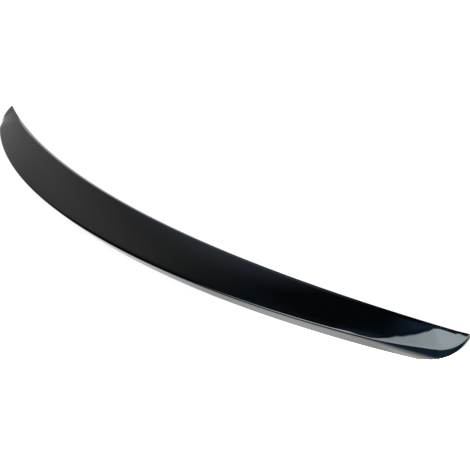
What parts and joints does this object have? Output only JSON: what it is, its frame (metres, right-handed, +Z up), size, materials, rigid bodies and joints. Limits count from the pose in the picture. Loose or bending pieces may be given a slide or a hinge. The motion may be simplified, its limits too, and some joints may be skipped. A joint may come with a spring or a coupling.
{
  "type": "boot lid lip spoiler",
  "caption": "Slim crescent-shaped lip spoiler for a car's boot lid, gloss black, one thin-walled moulding with an open back and a flat bonding foot.",
  "frame": {"origin": "on the resting plane, under the middle of the part's plan box", "axes": "+X along the lid from tip to tip, +Y towards the front of the car and away from the trailing lip, +Z up as the part lies at rest"},
  "size_m": [1.181, 0.1852, 0.0337],
  "materials": {
    "body": "polished piano black"
  },
  "bodies": {
    "root": {"spoiler": "body"}
  },
  "joints": []
}
